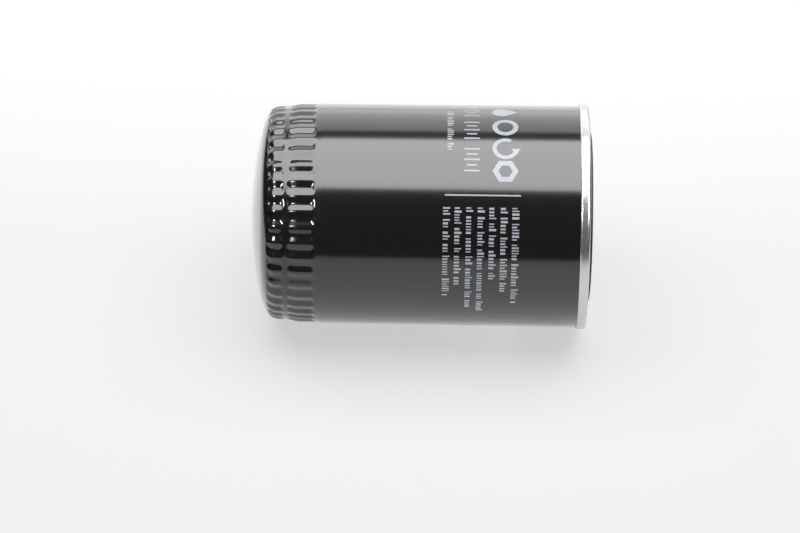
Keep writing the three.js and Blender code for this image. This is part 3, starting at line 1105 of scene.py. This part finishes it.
@dataclass
class ThreadedEnd(Assembly):
    """The rolled cover, the gasket, the tapped plate and the anti-drain valve."""

    cover_sheet: float = 0.7
    leg_radius: float = 45.05
    plateau_recess: float = 1.6
    gasket_inner: float = 31.0
    groove_gap: float = 0.3
    groove_lip: float = 1.2
    compound_inner: float = 45.7
    thread_minor: float = 8.75
    thread_depth: float = 0.72
    thread_pitch: float = 1.5875
    thread_rows: int = 10
    lead_in: float = 1.1
    hub_wall: float = 4.25
    hub_step: Pair = (3.2, 3.6)
    plate_thickness: float = 3.5
    inlets: int = 8
    inlet_radius: float = 4.0
    inlet_circle: float = 21.6
    collar_gap: float = 0.3
    lip_sheet: float = 1.2
    hem: Pair = (0.6, 0.25)  # length and drop of the rim's rolled-in edge
    inner_step: float = 1.3
    face_groove: Pair = (0.5, 0.25)  # half its width, and its depth
    thread_fade: float = 0.8
    lip_root: float = 3.3
    neck: Triple = (0.9, 2.1, 4.5)  # two depths under the hub's step, and the width there
    collar_wall: float = 2.3

    def build(self) -> None:
        """Builds and dresses the end's pieces."""
        self.dress(self.cover(), PLATED_STEEL, Body.SHELL, Slot.PLATED, "seam_cover")
        compound = washer("seam_bead", "seam_compound", self.compound_inner)
        self.dress(compound, SEALING_COMPOUND, Body.SHELL, Slot.COMPOUND, "seam_compound")
        self.dress(self.gasket(), BLACK_RUBBER, Body.SHELL, Slot.GASKET, "sealing_gasket")
        self.dress(self.plate(), PLATE_STEEL, Body.SHELL, Slot.PLATE, "base_plate")
        valve = self.valve()
        reach = Reach.of("anti_drain_valve")
        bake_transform(valve)
        self.dress(valve, VALVE_RUBBER, None, Slot.VALVE, "anti_drain_valve")

    def cover(self) -> Piece:
        """Presses the cover, its rim rolled over the can's edge, and returns it."""
        reach, gasket = Reach.of("seam_cover"), Reach.of("sealing_gasket")
        half = self.cover_sheet / 2
        rim_x, rim_r = reach.end - half, reach.radius - half
        rim_start = reach.end - RIM_WIDTH
        outer = gasket.radius + self.groove_gap + half
        inner = self.gasket_inner - self.groove_gap - half
        floor_x = gasket.start - self.groove_gap - half
        plateau_x = rim_x - self.plateau_recess
        hem_length, hem_drop = self.hem
        inner_x = rim_x - self.inner_step
        return press("rolled_cover", [
            (rim_start, rim_r - hem_drop, 0),
            (rim_start + hem_length, rim_r, 0.5),
            (rim_x, rim_r, 1.15),
            (rim_x, self.leg_radius, 0.6),
            (plateau_x, self.leg_radius, 0.6),
            (plateau_x, outer, 0.7),
            (floor_x, outer, 0.5),
            (floor_x, inner, 0.5),
            (inner_x, inner, 0.6),
            (inner_x, inner - self.groove_lip, 0),
        ], self.cover_sheet, 192)

    def gasket(self) -> Piece:
        """Moulds the gasket with rounded edges and a shallow groove in its face, and returns it."""
        reach = Reach.of("sealing_gasket")
        middle = (reach.radius + self.gasket_inner) / 2
        half, depth = self.face_groove
        return turn("moulded_gasket", rounded([
            (reach.start, self.gasket_inner, 0.4),
            (reach.start, reach.radius, 0.4),
            (reach.end, reach.radius, 0.6),
            (reach.end, middle + half, 0.2),
            (reach.end - depth, middle, 0.2),
            (reach.end, middle - half, 0.2),
            (reach.end, self.gasket_inner, 0.6),
        ]))

    def plate(self) -> Piece:
        """Turns the plate and its hub, cuts the thread and drills the inlets, and returns it."""
        reach = Reach.of("base_plate")
        face, back = reach.end, reach.end - self.plate_thickness
        hub = self.thread_minor + self.hub_wall
        mouth = self.thread_minor + self.lead_in
        step_width, step_length = self.hub_step
        outer = rounded([
            (reach.start + self.lead_in, self.thread_minor, 0),
            (reach.start, mouth, 0.1),
            (reach.start, hub, 0.4),
            (back - step_length, hub, 0.6),
            (back - step_length, hub + step_width, 0.5),
            (back, hub + step_width, 0.6),
            (back, reach.radius, 0.5),
            (face, reach.radius, 0.7),
            (face, mouth, 0.1),
            (face - self.lead_in, self.thread_minor, 0),
        ], closed=False)
        bore = (face - reach.start - 2 * self.lead_in) / self.thread_pitch
        outline = [*outer, *line(outer[-1], outer[0], round(bore * self.thread_rows))]
        piece = turn("tapped_plate", outline[:-1])
        self.cut_thread(piece, reach.start + self.lead_in, face - self.lead_in)
        drills = []
        for number in range(self.inlets):
            angle = number * FULL_TURN / self.inlets
            centre = Vector((0, math.sin(angle), math.cos(angle))) * self.inlet_circle
            centre.x = face - self.plate_thickness / 2
            drills.append(drill(32, self.inlet_radius, 2 * self.plate_thickness, centre,
                                (0, math.pi / 2, 0)))
        return punch(piece, drills)

    def cut_thread(self, piece: Piece, start: float, end: float) -> None:
        """Presses a helical thread into the plate's bore.

        Args:
            piece: the plate with its plain bore.
            start: station where the bore begins.
            end: station where it ends.
        """
        group = piece.vertex_groups.new(name="thread")
        for vertex in piece.data.vertices:
            x, y, z = vertex.co / MM
            if math.hypot(y, z) > self.thread_minor + 0.01 or not start < x < end:
                continue
            phase = (x / self.thread_pitch - math.atan2(z, y) / FULL_TURN) % 1
            flank = min(max(1.25 - abs(phase - 0.5) * 2.67, 0), 1)
            fade = min((x - start) / self.thread_fade, (end - x) / self.thread_fade, 1)
            group.add([vertex.index], flank * fade, "REPLACE")
        apply_modifier(piece, "DISPLACE", strength=-self.thread_depth * MM, mid_level=0,
                       vertex_group="thread")
        piece.vertex_groups.clear()

    def valve(self) -> Piece:
        """Moulds the rubber collar and its conical lip, and returns the valve."""
        reach, plate = Reach.of("anti_drain_valve"), Reach.of("base_plate")
        inner = self.thread_minor + self.hub_wall + self.collar_gap
        top = plate.end - self.plate_thickness - self.hub_step[1] - self.collar_gap
        upper, lower, throat = self.neck
        return turn("drain_valve_membrane", rounded([
            (reach.start, inner, 0.3),
            (top, inner, 0.3),
            (top, inner + self.lip_root, 0.5),
            (reach.end, reach.radius - 1, 0.3),
            (reach.end, reach.radius, 0.25),
            (reach.end - self.lip_sheet, reach.radius, 0.3),
            (top - upper, inner + throat, 0.6),
            (top - lower, inner + throat, 0.5),
            (top - lower, inner + self.collar_wall, 0.5),
            (reach.start, inner + self.collar_wall, 0.5),
        ]))


# ---------------------------------------------------------------- filter element


@dataclass
class Element(Assembly):
    """The pleated element with its caps, potting and centre tube."""

    cap_sheet: float = 0.6
    cap_bend: float = 0.7
    collar_radius: float = 16.2
    port_radius: float = 10.8
    collar_length: float = 4.4
    potting_inner: float = 18.3
    potting_sink: float = 0.2
    tube_sheet: float = 0.5
    tube_rows: int = 6
    tube_holes: int = 6
    tube_hole_radius: float = 2.6
    tube_plain_end: float = 12.0
    pleats: int = 54
    paper: float = 0.5
    fold_width: float = 1.05
    clip_sheet: float = 0.5
    clip_depth: float = 6.0
    clip_edge: float = 0.08
    clip_gap: float = 0.3
    paper_rows: int = 6

    def build(self) -> None:
        """Builds and dresses the element's pieces."""
        ride, slot = Body.ELEMENT, Slot.CAP
        self.dress(self.thread_cap(), CAP_STEEL, ride, slot, "thread_end_cap")
        self.dress(self.dome_cap(), CAP_STEEL, ride, slot, "dome_end_cap")
        for node, name in (("thread_end_potting", "thread_potting"), ("dome_end_potting", "dome_potting")):
            self.dress(self.potting(node, name), POTTING, ride, Slot.POTTING, node)
        self.dress(self.tube(), TUBE_STEEL, ride, Slot.TUBE, "centre_tube")
        self.dress(self.media(), FILTER_PAPER, ride, Slot.PAPER, "pleated_media")
        self.dress(self.clip(), TUBE_STEEL, ride, Slot.TUBE, "pleat_seam_clip")

    def thread_cap(self) -> Piece:
        """Presses the threaded end's cap with its collar, and returns it."""
        reach = Reach.of("thread_end_cap")
        half = self.cap_sheet / 2
        face = reach.end - half
        return press("thread_side_cap", [
            (reach.start, reach.radius - half, 0),
            (face, reach.radius - half, self.cap_bend),
            (face, self.collar_radius, self.cap_bend),
            (face - self.collar_length, self.collar_radius, 0),
        ], self.cap_sheet)

    def dome_cap(self) -> Piece:
        """Presses the domed end's cap with its bypass port, and returns it."""
        reach = Reach.of("dome_end_cap")
        half = self.cap_sheet / 2
        face = reach.start + half
        return press("dome_side_cap", [
            (reach.end, reach.radius - half, 0),
            (face, reach.radius - half, self.cap_bend),
            (face, self.port_radius, 0),
        ], self.cap_sheet)

    def potting(self, node: str, name: str) -> Piece:
        """Pours one disc of adhesive, slightly sunk between its edges, and returns it."""
        reach = Reach.of(node)
        inner, outer = self.potting_inner, reach.radius
        return turn(name, rounded([
            (reach.start, inner, 0.3),
            (reach.end, inner, 0.5),
            (reach.end - self.potting_sink, (inner + outer) / 2, 2.0),
            (reach.end, outer, 0.5),
            (reach.start, outer, 0.3),
        ]))

    def tube(self) -> Piece:
        """Rolls the centre tube and punches its holes, and returns it."""
        reach, cage = Reach.of("centre_tube"), Reach.of("bypass_cage")
        middle = reach.radius - self.tube_sheet / 2
        piece = press("perforated_tube", [(reach.start, middle, 0), (reach.end, middle, 0)],
                      self.tube_sheet, STEPS_SMALL)
        first = cage.end - 0.4 + self.tube_plain_end / 2
        pitch = (reach.end - self.tube_plain_end - first) / (self.tube_rows - 1)
        radius, tools = reach.radius, []
        for row in range(self.tube_rows):
            for hole in range(self.tube_holes):
                angle = (hole + (row % 2) / 2) * FULL_TURN / self.tube_holes
                place = Vector((first + row * pitch, radius * math.cos(angle), radius * math.sin(angle)))
                tools.append(drill(20, self.tube_hole_radius, radius, place, (angle - math.pi / 2, 0, 0)))
        return punch(piece, tools)

    def fold_path(self) -> list[Vector]:
        """Returns the paper's path across the axis, out and back once for each pleat, in metres."""
        reach = Reach.of("pleated_media")
        inner = self.potting_inner + self.paper
        outer = reach.radius - self.paper / 2
        half, pitch = self.fold_width / 2, FULL_TURN / self.pleats
        path = []

        def fold(radius: float, middle: float, outward: int) -> None:
            """Adds one rounded fold of the paper to the path."""
            for k in range(5):
                swing = math.pi * k / 4
                side = -half * math.cos(swing)
                depth = radius + outward * half * (math.sin(swing) - 1)
                across = Vector((0, depth * math.sin(middle), depth * math.cos(middle)))
                path.append((across + Vector((0, math.cos(middle), -math.sin(middle))) * side) * MM)

        tuck = outer - self.clip_sheet - self.clip_gap
        path.append(Vector((0, half, tuck)) * MM)
        for pleat in range(1, self.pleats + 1):
            fold(inner, (pleat - 0.5) * pitch, -1)
            if pleat < self.pleats:
                fold(outer, pleat * pitch, 1)
        path.append(Vector((0, -half, tuck)) * MM)
        return path

    def media(self) -> Piece:
        """Pleats the paper and returns it."""
        reach = Reach.of("pleated_media")
        start = Vector((reach.start * MM, 0, 0))
        piece = draw("pleated_paper", [start + point for point in self.fold_path()])
        length = (reach.end - reach.start) / self.paper_rows * MM
        for _ in range(self.paper_rows):
            extrude((length, 0, 0))
        close_up()
        thicken(piece, self.paper)
        return smooth(piece, 50)

    def clip(self) -> Piece:
        """Folds the metal clip over the paper's two ends, and returns it."""
        reach = Reach.of("pleat_seam_clip")
        top = max(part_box("pleat_seam_clip")[1][2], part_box("pleat_seam_clip")[0][2]) / MM
        half = self.fold_width / 2 + self.paper / 2 + self.clip_sheet / 2 + self.clip_gap
        top -= self.clip_sheet / 2
        section = rounded([(-half, top - self.clip_depth, 0), (-half, top, 0.5), (half, top, 0.5),
                           (half, top - self.clip_depth, 0)], closed=False)
        piece = draw("seam_clip", [Vector((reach.start, y, z)) * MM for y, z in section])
        extrude(((reach.end - reach.start) * MM, 0, 0))
        close_up()
        thicken(piece, self.clip_sheet, self.clip_edge)
        return smooth(piece)


# ---------------------------------------------------------------- bypass valve and springs


@dataclass
class BypassValve(Assembly):
    """The relief valve inside the domed end of the centre tube."""

    sheet: float = 0.8
    seat_port: float = 9.6
    plunger_skirt: float = 2.6
    plunger_wall: float = 0.7
    boss: Pair = (4.6, 3.1)
    cage_radius: float = 14.0
    cage_hole: float = 3.5
    windows: int = 4
    window: Pair = (14.0, 11.0)
    window_corner: float = 2.0
    seal_inner: float = 7.6
    wire: float = 1.2
    coil_radius: float = 7.0
    coils: float = 5.0

    def build(self) -> None:
        """Builds and dresses the valve's pieces."""
        self.dress(self.seat(), CAP_STEEL, Body.ELEMENT, Slot.CAP, "bypass_seat")
        self.dress(self.cage(), CAP_STEEL, Body.ELEMENT, Slot.CAP, "bypass_cage")
        self.dress(self.plunger(), CAP_STEEL, Body.PLUNGER, Slot.CAP, "bypass_disc")
        seal = washer("plunger_washer", "bypass_seal", self.seal_inner, 0.35, STEPS_SMALL)
        self.dress(seal, BLACK_RUBBER, Body.PLUNGER, Slot.GASKET, "bypass_seal")
        reach = Reach.of("bypass_spring")
        spring = wind("plunger_spring", self.wire, self.coil_radius, reach.start, reach.end, self.coils)
        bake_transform(spring)
        self.dress(spring, SPRING_STEEL, None, Slot.SPRING, "bypass_spring")

    def seat(self) -> Piece:
        """Presses the seat's ring and nozzle, and returns it."""
        reach = Reach.of("bypass_seat")
        half = self.sheet / 2
        nozzle = self.seat_port + half
        return press("valve_seat", [
            (reach.start + half, reach.radius, 0),
            (reach.start + half, nozzle, 0.6),
            (reach.end, nozzle, 0),
        ], self.sheet, STEPS_SMALL)

    def plunger(self) -> Piece:
        """Presses the plunger with its skirt and boss, and returns it."""
        reach = Reach.of("bypass_disc")
        boss_radius, boss_height = self.boss
        face = reach.start + self.sheet
        return turn("valve_plunger", rounded([
            (reach.start, 0, 0),
            (reach.start, reach.radius, 0.7),
            (face + self.plunger_skirt, reach.radius, 0.15),
            (face + self.plunger_skirt, reach.radius - self.plunger_wall, 0.15),
            (face, reach.radius - self.plunger_wall, 0.3),
            (face, boss_radius, 0.4),
            (face + boss_height, boss_radius, 0.8),
            (face + boss_height, 0, 0),
        ], closed=False), closed=False, steps=STEPS_SMALL)

    def cage(self) -> Piece:
        """Presses the cage, punches its windows and returns it."""
        reach = Reach.of("bypass_cage")
        half = self.sheet / 2
        piece = press("valve_cage", [
            (reach.start + half, reach.radius, 0),
            (reach.start + half, self.cage_radius, 0.8),
            (reach.end - half, self.cage_radius, 1.2),
            (reach.end - half, self.cage_hole, 0),
        ], self.sheet, STEPS_SMALL)
        length, width = self.window
        x = reach.start + half + self.sheet + length / 2
        tools = [self.window_punch(x, (i + 0.5) * FULL_TURN / self.windows) for i in range(self.windows)]
        return punch(piece, tools)

    def window_punch(self, x: float, angle: float) -> Piece:
        """Makes the punch of one window, its corners rounded, and returns it."""
        deselect_all()
        length, width = self.window
        bpy.ops.mesh.primitive_cube_add(size=MM, location=(x * MM, 0, self.cage_radius * MM))
        tool = bpy.context.object
        edit(tool)
        bpy.ops.transform.resize(value=(length, width, self.cage_radius))
        leave_edit()
        bpy.ops.object.transform_apply(location=True, rotation=True, scale=True)
        bpy.ops.object.mode_set(mode="EDIT")
        bpy.ops.mesh.select_mode(type="EDGE")
        leave_edit()
        for edge in tool.data.edges:
            first, last = (tool.data.vertices[i].co for i in edge.vertices)
            edge.select = abs(first.z - last.z) > MM
        bpy.ops.object.mode_set(mode="EDIT")
        bpy.ops.mesh.bevel(offset=self.window_corner * MM, segments=5)
        bpy.ops.mesh.select_mode(type="VERT")
        bpy.ops.mesh.select_all(action="SELECT")
        bpy.ops.transform.rotate(value=-angle, orient_axis="X", center_override=(0, 0, 0))
        leave_edit()
        return tool


@dataclass
class SupportSpring(Assembly):
    """The spring between the dome and the element."""

    wire: float = 2.4
    coil_radius: float = 20.0
    coils: float = 3.0

    def build(self) -> None:
        """Winds and dresses the spring."""
        reach = Reach.of("element_spring")
        spring = wind("dome_spring", self.wire, self.coil_radius, reach.start, reach.end, self.coils)
        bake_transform(spring)
        self.dress(spring, SPRING_STEEL, None, Slot.SPRING, "element_spring")


# ---------------------------------------------------------------- studio


class Seen(Enum):
    """Which rays a light reaches: mirrored ones or scattered ones."""

    MIRRORED = "mirrored"
    SCATTERED = "scattered"


@dataclass(frozen=True)
class SoftLight:
    """A soft rectangular light, its size and place in metres, aimed at the filter."""

    name: str
    size: Pair
    place: Triple
    radiance: float
    seen: Seen
    aim: Triple = (0, 0, 0)

    def add(self) -> None:
        """Adds the light to the scene."""
        light = bpy.data.lights.new(self.name, "AREA")
        light.shape = "RECTANGLE"
        light.size, light.size_y = self.size
        light.energy = self.radiance * math.pi * self.size[0] * self.size[1]
        lamp = bpy.data.objects.new(self.name, light)
        bpy.context.collection.objects.link(lamp)
        lamp.location = self.place
        aim = Vector(self.aim) - Vector(self.place)
        lamp.rotation_euler = aim.to_track_quat("-Z", "Y").to_euler()
        lamp.visible_camera = False
        lamp.visible_diffuse = self.seen is Seen.SCATTERED
        lamp.visible_glossy = self.seen is Seen.MIRRORED


@dataclass
class Studio:
    """The table, the lights and the camera."""

    elevation: float = 41.0
    distance: float = 1.84
    sideways: float = -0.00842
    upward: float = -0.02201
    roll: float = 0.79
    lens: float = 196.85
    table_size: float = 4.0
    # Bounds of the patch the table shows in reflections; outside it the table is painted black where
    # mirrored, a painted dark reflection.
    lit_left: float = -0.215
    lit_right: float = 0.3
    lit_front: float = -0.6
    paleness: float = 0.5
    # Painted light: the table's emission glow stands in for light from below and rises towards the back.
    glow: float = 0.55
    glow_rise: float = 0.4
    glow_depths: Pair = (0.03, 0.53)  # between which the glow rises, along Y in metres
    dome_rest: Pair = (21.0, 45.9)  # where the wall rests: distance from the dome's end, and radius
    wall_light: float = 0.1
    backdrop_light: float = 0.9

    def build(self) -> None:
        """Sets up the table, the lights, the surroundings and the camera."""
        self.table()
        for light in self.lights():
            light.add()
        self.surroundings()
        self.camera()

    def table(self) -> None:
        """Lays the table under the rim and the dome end's wall."""
        rim, can = Reach.of("seam_cover"), Reach.of("can")
        deselect_all()
        bpy.ops.mesh.primitive_grid_add(x_subdivisions=2, y_subdivisions=2, size=self.table_size)
        table = bpy.context.object
        table.name = table.data.name = "table_top"
        rest_x, rest_radius = self.dome_rest
        rim_x, wall_x = (rim.start + rim.end) / 2, can.start + rest_x
        drop = math.atan2(rim.radius - rest_radius, rim_x - wall_x)
        edit(table)
        bpy.ops.transform.translate(value=(0, 0, -rim.radius * MM))
        leave_edit()
        table.data.transform(Matrix.Translation((rim_x * MM, 0, -rim.radius * MM))
                             @ Matrix.Rotation(drop, 4, "Y")
                             @ Matrix.Translation((-rim_x * MM, 0, rim.radius * MM)))
        table.data.materials.append(self.table_paint())

    def table_paint(self) -> bpy.types.Material:
        """Returns the table's plain pale paint with a painted glow that stands in for light from below and
        brightens towards the back, its far parts painted dark where mirrored.
        """
        paint = bpy.data.materials.new("pale table")
        paint.use_nodes = True
        tree = Tree(paint.node_tree)
        shader = paint.node_tree.nodes["Principled BSDF"]
        place = tree.add("SeparateXYZ", {0: tree.place()})
        across, depth = place.outputs[0], place.outputs[1]
        # Outside this patch mirrored rays see the table black: a painted dark reflection.
        inside = tree.math("MULTIPLY", tree.math("GREATER_THAN", across, self.lit_left),
                           tree.math("LESS_THAN", across, self.lit_right))
        inside = tree.math("MULTIPLY", inside, tree.math("GREATER_THAN", depth, self.lit_front))
        plain = tree.math("SUBTRACT", 1.0, tree.add("LightPath").outputs["Is Glossy Ray"])
        shown = tree.math("MAXIMUM", inside, plain)
        # Painted light: emission standing in for light from below, brighter towards the back.
        rise = tree.spread(depth, *self.glow_depths, self.glow, self.glow + self.glow_rise)
        tree.tree.links.new(tree.math("MULTIPLY", shown, self.paleness), shader.inputs["Base Color"])
        tree.tree.links.new(tree.math("MULTIPLY", shown, rise), shader.inputs["Emission Strength"])
        shader.inputs["Emission Color"].default_value = (1, 1, 1, 1)
        shader.inputs["Roughness"].default_value = 0.9
        shader.inputs["Specular IOR Level"].default_value = 0.1
        return paint

    @staticmethod
    def lights() -> list[SoftLight]:
        """Returns the studio's lights."""
        box, lamp, below = (1.5, 0.896), (0.2, 0.2), (0, 0.088, 0)
        return [
            SoftLight("overhead_softbox", box, (0, 0.088, 0.8), 5.0, Seen.MIRRORED, below),
            SoftLight("overhead_fill", box, (0, 0.088, 0.82), 1.72, Seen.SCATTERED, below),
            SoftLight("rear_card", (5.0, 1.2), (0, 1.25, 0.6), 1.4, Seen.MIRRORED, (0, 0, 0.6)),
            SoftLight("left_lamp", lamp, (-0.8, -0.8, 0.9), 80.0, Seen.MIRRORED),
            SoftLight("right_lamp", lamp, (0.8, -0.8, 0.9), 80.0, Seen.MIRRORED),
        ]

    def surroundings(self) -> None:
        """Gives the studio dim walls behind a pale backdrop that only the camera sees."""
        world = bpy.data.worlds.new("studio")
        world.use_nodes = True
        tree = Tree(world.node_tree)
        seen = tree.add("LightPath").outputs["Is Camera Ray"]
        background = world.node_tree.nodes["Background"]
        strength = tree.spread(seen, 0.0, 1.0, self.wall_light, self.backdrop_light)
        tree.tree.links.new(strength, background.inputs["Strength"])
        background.inputs["Color"].default_value = (1, 1, 1, 1)
        bpy.context.scene.world = world

    def camera(self) -> None:
        """Places the camera in front of the filter and above it."""
        angle = math.radians(self.elevation)
        forward = Vector((0, math.cos(angle), -math.sin(angle)))
        up = Vector((0, math.sin(angle), math.cos(angle)))
        place = -forward * self.distance + Vector((self.sideways, 0, 0)) + up * self.upward
        lens = bpy.data.cameras.new("camera")
        lens.lens = self.lens
        lens.clip_start, lens.clip_end = 0.1, 20
        camera = bpy.data.objects.new("camera", lens)
        bpy.context.collection.objects.link(camera)
        camera.matrix_world = (
            Matrix.Translation(place)
            @ Matrix.Rotation(math.pi / 2 - angle, 4, "X")
            @ Matrix.Rotation(math.radians(self.roll), 4, "Z")
        )
        scene = bpy.context.scene
        scene.camera = camera
        scene.view_settings.view_transform = "Standard"


def main() -> None:
    """Builds the filter's sub-assemblies and the studio."""
    logging.basicConfig(level=logging.INFO, format="%(name)s: %(message)s")
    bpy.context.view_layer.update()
    can = Can()
    for assembly in (can, Print(can), ThreadedEnd(), Element(), BypassValve(), SupportSpring()):
        assembly.build()
        for piece in assembly.pieces:
            log.info("%s: %s, %d faces", type(assembly).__name__, piece.name, len(piece.data.polygons))
    Studio().build()


if __name__ == "__main__":
    main()
